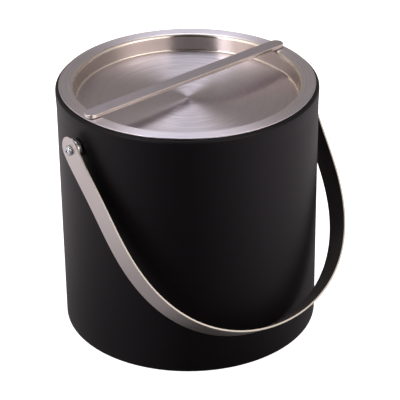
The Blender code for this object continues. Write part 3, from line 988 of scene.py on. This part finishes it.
def build_pan():
    """Sunk pan with a flat rim."""
    shoulder_r, shoulder_z = PAN_WALL_R + PAN_SHOULDER, RIM_TOP - PAN_SHOULDER
    corner_r, corner_z = PAN_WALL_R - PAN_CORNER, PAN_FLOOR + PAN_CORNER
    rim_r = RIM_R - RIM_ROUND
    floor_radii = (74.0, 66.0, 58.0, 50.0, 42.0, 34.0, 26.0, 18.0, 10.0, 4.0, 0)
    profile = (
        arc(rim_r, RIM_TOP - PAN_SHEET + RIM_ROUND, RIM_ROUND, -90, 0, 4)
        + arc(rim_r, RIM_TOP - RIM_ROUND, RIM_ROUND, 0, 90, 5)
        + [(91.5, RIM_TOP), (88.5, RIM_TOP)]
        + arc(shoulder_r, shoulder_z, PAN_SHOULDER, 90, 180, 14)
        + [(PAN_WALL_R, (shoulder_z + PAN_FLOOR + PAN_CORNER) / 2)]
        + arc(corner_r, corner_z, PAN_CORNER, 0, -90, 10)
        + [(r, PAN_FLOOR) for r in floor_radii]
        + [(r, PAN_FLOOR - PAN_SHEET) for r in (0, 40.0)]
        + arc(corner_r, corner_z, PAN_CORNER + PAN_SHEET, -90, 0, 8)
        + arc(shoulder_r, shoulder_z, PAN_SHOULDER - PAN_SHEET, 180, 90, 8)
        + [(90.0, RIM_TOP - PAN_SHEET)]
    )
    mats = [LID_STEEL, WALL_STEEL, FLOOR_SHADED_STEEL]
    pan = lathe("lid_pan_brushed", profile, mats, pick=pan_slot)
    place_on_lid(pan, "lid_pan")


def build_plug():
    """Open-topped cup under the pan."""
    corner_r, corner_z = PLUG_R - PLUG_CORNER, PLUG_BOTTOM + PLUG_CORNER
    profile = (
        [(r, PLUG_BOTTOM) for r in (0, 40.0, 70.0)]
        + arc(corner_r, corner_z, PLUG_CORNER, -90, 0, 8)
        + [
            (PLUG_R, PLUG_TOP - NICK),
            (PLUG_R - NICK, PLUG_TOP),
            (PLUG_R - SHEET + NICK, PLUG_TOP),
            (PLUG_R - SHEET, PLUG_TOP - NICK),
        ]
        + arc(corner_r, corner_z, PLUG_CORNER - SHEET, 0, -90, 6)
        + [(r, PLUG_BOTTOM + SHEET) for r in (60.0, 0)]
    )
    plug = lathe("lid_plug_brushed", profile, [LINER_STEEL], PLAIN_STEPS)
    place_on_lid(plug, "lid_plug")


def build_seal():
    """Ring with two ribs round its outside."""
    inner, outer, rib = 83.5, 84.1, 84.5
    profile = round_corners(
        [
            (inner, SEAL_BOTTOM),
            (outer, SEAL_BOTTOM),
            (rib, SEAL_BOTTOM + 0.8),
            (84.15, SEAL_BOTTOM + 1.5),
            (rib, SEAL_BOTTOM + 2.2),
            (outer, SEAL_TOP),
            (inner, SEAL_TOP),
        ],
        [0.1, 0.2, 0.15, 0.2, 0.15, 0.2, 0.1],
        steps=3,
    )
    seal = lathe("lid_seal_moulded", profile, [SILICONE], PLAIN_STEPS)
    place_on_lid(seal, "lid_seal")


def bar_mesh():
    """A flat bar with half-round ends, lying along X."""
    end_r = BAR_WIDTH / 2
    reach = BAR_LENGTH / 2 - end_r
    end_steps, side_steps = 24, 16
    outline = []
    for sign in (1, -1):
        for x, y in arc(0.0, 0.0, end_r, -90, 90, end_steps):
            outline.append((sign * (reach + x), sign * y))
        for i in range(1, side_steps):
            outline.append((sign * reach * (1 - 2 * i / side_steps), sign * end_r))
    bm = bmesh.new()
    bottom = [bm.verts.new((x * MM, y * MM, BAR_BOTTOM * MM)) for x, y in outline]
    top = [bm.verts.new((x * MM, y * MM, BAR_TOP * MM)) for x, y in outline]
    bm.faces.new(top)
    bm.faces.new(bottom)
    for i in range(len(top)):
        j = (i + 1) % len(top)
        # slot 1 is the sides, which carry the painted highlight
        bm.faces.new((bottom[i], bottom[j], top[j], top[i])).material_index = 1
    return bm


def build_bar():
    bar = link("lid_bar_brushed", bar_mesh(), [BAR_STEEL, BAR_SIDE_SHEEN], 45.0)
    bake_bevel(bar, 0.35)
    weight_normals(bar)
    place_on_lid(bar, "lid_bar")


build_pan()
build_plug()
build_seal()
build_bar()

# ---------------------------------------------------------------------------
# studio
# ---------------------------------------------------------------------------
# level axes of the view: SIDE to the camera's right, AWAY from the camera
VIEW_TURN = math.radians(36.32)
SIDE = (math.cos(VIEW_TURN), -math.sin(VIEW_TURN), 0.0)
AWAY = (math.sin(VIEW_TURN), math.cos(VIEW_TURN), 0.0)

WARM, COOL, PLAIN = (1.06, 0.97, 0.90), (0.96, 0.985, 1.06), (1.0, 0.975, 0.985)
ROSE = (1.03, 0.95, 1.0)
WHITE = rgba(1.0, 1.0, 1.0)

# glow the floor gives to reflections, every 30 degrees from -180 to 180, left positive
# painted shadow: NEAR_GLOW, the glow close to the bucket, is mostly lower than FAR_GLOW, and both
# dip towards the camera (0 degrees), where the bucket's shadow falls on the floor
NEAR_GLOW = (0.30, 0.20, 0.15, 0.28, 0.34, 0.17, 0.09, 0.36, 0.36, 0.36, 0.40, 0.38, 0.30)
FAR_GLOW = (0.40, 0.40, 0.80, 1.00, 1.15, 0.55, 0.12, 0.34, 0.88, 0.94, 0.90, 0.60, 0.40)

# degrees to the left of the camera, level, tint
WALL_STOPS = (
    (-180, 0.34, WARM), (-150, 0.36, WARM), (-120, 0.34, WARM), (-90, 0.88, WARM),
    (-60, 1.10, WARM), (-30, 0.95, WARM), (-21, 0.90, WARM), (-15, 0.06, WARM),
    (0, 0.03, WARM), (31, 0.05, WARM), (35, 1.20, PLAIN), (45, 1.20, PLAIN),
    (51, 1.05, WARM), (60, 1.05, WARM), (90, 0.95, WARM), (118, 0.82, WARM),
    (138, 0.38, WARM), (150, 0.36, WARM), (180, 0.34, WARM),
)
STRIP_STOPS = (
    (-180, 0.0, WARM), (-80, 0.0, WARM), (-55, 2.80, WARM), (-40, 2.50, WARM),
    (-21, 1.90, WARM), (-16, 0.0, WARM), (32, 0.0, PLAIN), (35, 7.00, PLAIN),
    (44, 7.00, PLAIN), (50, 2.60, WARM), (62, 2.60, WARM), (85, 0.0, WARM),
    (180, 0.0, WARM),
)
# upward part of the direction, level of the walls there
HEIGHT_STOPS = ((0.0, 0.72), (0.12, 0.78), (0.40, 1.0), (0.68, 1.0), (0.85, 0.75), (1.0, 0.3))


def ramp(n, value, stops):
    """Colours along a value from 0 to 1; each stop is (place, (r, g, b))."""
    node = n.add("ShaderNodeValToRGB", {0: value})
    elements = node.color_ramp.elements
    while len(elements) < len(stops):
        elements.new(0.5)
    for element, (at, colour) in zip(elements, stops):
        element.position = at
        element.color = rgba(*colour)
    return node.outputs[0]


def round_ramp(n, side, away, stops):
    """Colours by direction round the object; stops are (degrees left of camera, level, tint).

    The ramp runs from 0 and 1 behind the object to 0.5 towards the camera.
    """
    turn = n.math("ARCTAN2", n.times(side, -1.0), n.times(away, -1.0))
    around = n.remap(turn, between=(-math.pi, math.pi))
    places = [
        (0.5 + degrees / 360.0, tuple(level * channel for channel in tint))
        for degrees, level, tint in stops
    ]
    return ramp(n, around, places)


def floor_material():
    """Pale to the camera, a ring-shaped glow to reflections, clear from underneath."""
    material, n, shader = new_material("pale_floor")
    n.set(shader, {"Base Color": rgba(0.80, 0.80, 0.80), "Roughness": 0.9})
    output = n.tree.nodes["Material Output"]
    glow = n.add("ShaderNodeEmission", {"Color": WHITE, "Strength": 0.92})
    pale = n.add("ShaderNodeAddShader", {0: shader.outputs[0], 1: glow.outputs[0]})
    where = n.add("ShaderNodeNewGeometry").outputs["Position"]
    side, away = n.dot(where, SIDE), n.dot(where, AWAY)
    reach = n.vmath("LENGTH", where, output=1)
    near, far = (
        round_ramp(n, side, away, [(-180 + 30 * i, level, ROSE) for i, level in enumerate(levels)])
        for levels in (NEAR_GLOW, FAR_GLOW)
    )
    # radii in metres
    table = n.mix(n.remap(reach, between=(0.12, 0.35)), near, far)
    table = n.mix(n.smooth(reach, between=(0.088, 0.096)), rgba(0.45, 0.45, 0.45), table)
    table_glow = n.add("ShaderNodeEmission", {"Color": table, "Strength": 1.0})
    to_camera = n.add("ShaderNodeLightPath").outputs["Is Camera Ray"]
    top = n.add(
        "ShaderNodeMixShader", {0: to_camera, 1: table_glow.outputs[0], 2: pale.outputs[0]}
    )
    under = n.add("ShaderNodeNewGeometry").outputs["Backfacing"]
    clear = n.add("ShaderNodeBsdfTransparent", {0: WHITE})
    both = n.add("ShaderNodeMixShader", {0: under, 1: top.outputs[0], 2: clear.outputs[0]})
    n.set(output, {"Surface": both.outputs[0]})
    return material


def build_floor():
    """A large sheet just under the bucket."""
    mesh = bpy.data.meshes.new("studio_floor")
    bm = bmesh.new()
    bmesh.ops.create_grid(bm, x_segments=8, y_segments=8, size=6.0)
    bm.to_mesh(mesh)
    bm.free()
    floor = bpy.data.objects.new("studio_floor", mesh)
    bpy.context.scene.collection.objects.link(floor)
    floor.location = (0, 0, -0.0002)
    mesh.materials.append(floor_material())


def build_world():
    """White to the camera; to the object, walls, bright strips and an overhead panel."""
    world = bpy.data.worlds.new("studio_world")
    bpy.context.scene.world = world
    world.use_nodes = True
    n = Nodes(world.node_tree)
    direction = n.add("ShaderNodeTexCoord").outputs["Generated"]
    side, away = n.dot(direction, SIDE), n.dot(direction, AWAY)
    _, _, rise = n.xyz(direction)
    walls = round_ramp(n, side, away, WALL_STOPS)
    strips = round_ramp(n, side, away, STRIP_STOPS)
    strip_band = n.window(rise, rise=(0.24, 0.38), fall=(0.54, 0.68))
    height_stops = [(at, (level,) * 3) for at, level in HEIGHT_STOPS]
    height = ramp(n, n.math("MAXIMUM", rise, 0.0), height_stops)
    # the panel is laid out on a level plane at height 1
    safe_rise = n.math("MAXIMUM", rise, 0.02)
    panel_side = n.math("DIVIDE", side, safe_rise)
    panel_away = n.math("DIVIDE", away, safe_rise)
    panel = n.times(
        n.window(panel_side, rise=(-0.42, -0.20), fall=(0.02, 0.42)),
        n.window(panel_away, rise=(-0.10, 0.25), fall=(0.75, 1.05)),
    )
    panel = n.times(panel, n.smooth(rise, between=(0.05, 0.15)))
    panel_level = 2.75
    lit_walls = n.vmath("MULTIPLY", walls, height)
    room = n.vmath("ADD", lit_walls, n.vmath("SCALE", strips, strip_band))
    lit_panel = n.vmath("SCALE", tuple(panel_level * channel for channel in COOL), panel)
    room = n.vmath("ADD", room, lit_panel)
    to_camera = n.add("ShaderNodeLightPath").outputs["Is Camera Ray"]
    background = n.tree.nodes["Background"]
    n.set(background, {"Color": n.mix(to_camera, room, WHITE), "Strength": 1.0})


def build_camera():
    data = bpy.data.cameras.new("camera")
    data.lens = 163.837
    data.sensor_width = 36.0
    data.clip_start = 0.05
    data.clip_end = 50.0
    camera = bpy.data.objects.new("camera", data)
    bpy.context.scene.collection.objects.link(camera)
    right = Vector((0.80229264, -0.59683924, -0.01046145))
    up = Vector((0.29621021, 0.38283858, 0.8750395))
    forward = Vector((0.51825287, 0.70513654, -0.48393845))
    turn = Matrix((right, up, -forward)).transposed().to_4x4()
    camera.matrix_world = Matrix.Translation((-0.7049, -0.97303, 0.75613)) @ turn
    bpy.context.scene.camera = camera


build_floor()
build_world()
build_camera()

view = bpy.context.scene.view_settings
view.view_transform = "Standard"
view.look = "None"
view.exposure = 0.0
view.gamma = 1.0
